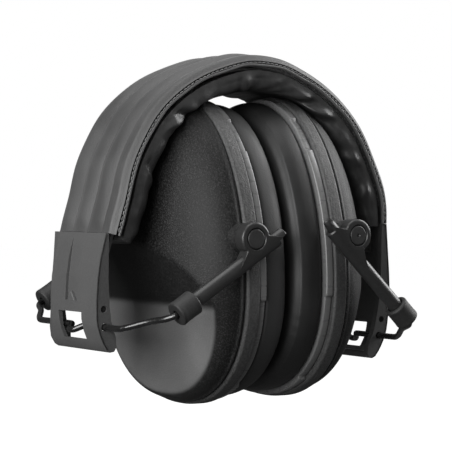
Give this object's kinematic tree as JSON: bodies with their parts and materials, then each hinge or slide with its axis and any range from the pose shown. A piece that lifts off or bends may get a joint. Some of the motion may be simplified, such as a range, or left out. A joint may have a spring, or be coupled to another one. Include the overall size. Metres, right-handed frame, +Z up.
{
  "type": "earmuff hearing protector",
  "caption": "Folding over-head earmuff with soft egg-shaped ear cups on wire yokes, swung up inside a padded headband.",
  "frame": {"origin": "middle of the bounding box in plan, on the surface that the folded muff's cups stand on", "axes": "+Z up, +X from the left cup towards the right cup along the headband, -Y the front, where the wearer's left and right are not told apart"},
  "size_m": [0.1268, 0.1034, 0.1262],
  "materials": {
    "cover_leatherette": "matte leatherette",
    "liner_vinyl": "glossy soft vinyl",
    "band_end_plastic": "satin moulded plastic",
    "spring_steel": "rolled spring steel",
    "band_foam": "open foam",
    "piping_vinyl": "satin vinyl piping",
    "yoke_steel": "glossy blackened wire",
    "arm_plastic": "satin moulded plastic",
    "collar_rubber": "matte rubber",
    "pin_plastic": "satin moulded plastic",
    "shell_plastic": "fine-grained plastic",
    "rim_plastic": "coarse spark texture",
    "plate_plastic": "smooth satin gloss",
    "cushion_leather": "satin soft leatherette",
    "absorber_foam": "open-cell foam"
  },
  "bodies": {
    "band": {"front_piping": "piping_vinyl", "headband_cover": "cover_leatherette", "headband_liner": "liner_vinyl", "headband_pad": "band_foam", "headband_spring": "spring_steel", "left_band_end": "band_end_plastic", "rear_piping": "piping_vinyl", "right_band_end": "band_end_plastic"},
    "left_yoke": {"left_wire_yoke": "yoke_steel"},
    "left_arms": {"left_front_arm": "arm_plastic", "left_front_collar": "collar_rubber", "left_front_pivot_pin": "pin_plastic", "left_rear_arm": "arm_plastic", "left_rear_collar": "collar_rubber", "left_rear_pivot_pin": "pin_plastic"},
    "left_cup": {"left_cup_shell": "shell_plastic", "left_cushion_plate": "plate_plastic", "left_ear_cushion": "cushion_leather", "left_foam_absorber": "absorber_foam", "left_foam_screen": "absorber_foam", "left_rim_ring": "rim_plastic"},
    "right_yoke": {"right_wire_yoke": "yoke_steel"},
    "right_arms": {"right_front_arm": "arm_plastic", "right_front_collar": "collar_rubber", "right_front_pivot_pin": "pin_plastic", "right_rear_arm": "arm_plastic", "right_rear_collar": "collar_rubber", "right_rear_pivot_pin": "pin_plastic"},
    "right_cup": {"right_cup_shell": "shell_plastic", "right_cushion_plate": "plate_plastic", "right_ear_cushion": "cushion_leather", "right_foam_absorber": "absorber_foam", "right_foam_screen": "absorber_foam", "right_rim_ring": "rim_plastic"}
  },
  "joints": [
    {"name": "left_fold", "type": "hinge", "parent": "band", "child": "left_yoke", "pos_m": [-0.05962, 0, 0.02959], "axis": [0, 1, 0], "range_deg": [0, 104], "deforming": ["left_ear_cushion", "right_ear_cushion"]},
    {"name": "left_slide", "type": "slide", "parent": "left_yoke", "child": "left_arms", "axis": [0.848, 0, 0.5299], "range_m": [0, 0.009], "deforming": ["headband_liner"]},
    {"name": "left_cup_pivot", "type": "hinge", "parent": "left_arms", "child": "left_cup", "pos_m": [-0.01891, 0, 0.0601], "axis": [0, -1, 0], "range_deg": [0, 104]},
    {"name": "right_fold", "type": "hinge", "parent": "band", "child": "right_yoke", "pos_m": [0.058, 0, 0.02322], "axis": [0, -1, 0], "range_deg": [0, 112], "deforming": ["left_ear_cushion", "right_ear_cushion"]},
    {"name": "right_slide", "type": "slide", "parent": "right_yoke", "child": "right_arms", "axis": [-0.7254, 0, 0.6884], "range_m": [0, 0.007], "deforming": ["headband_liner"]},
    {"name": "right_cup_pivot", "type": "hinge", "parent": "right_arms", "child": "right_cup", "pos_m": [0.02419, 0, 0.06123], "axis": [0, 1, 0], "range_deg": [0, 112]}
  ],
  "couplings": [
    {"joint": "left_cup_pivot", "follows": "left_fold", "ratio": 1},
    {"joint": "right_cup_pivot", "follows": "right_fold", "ratio": 1}
  ]
}
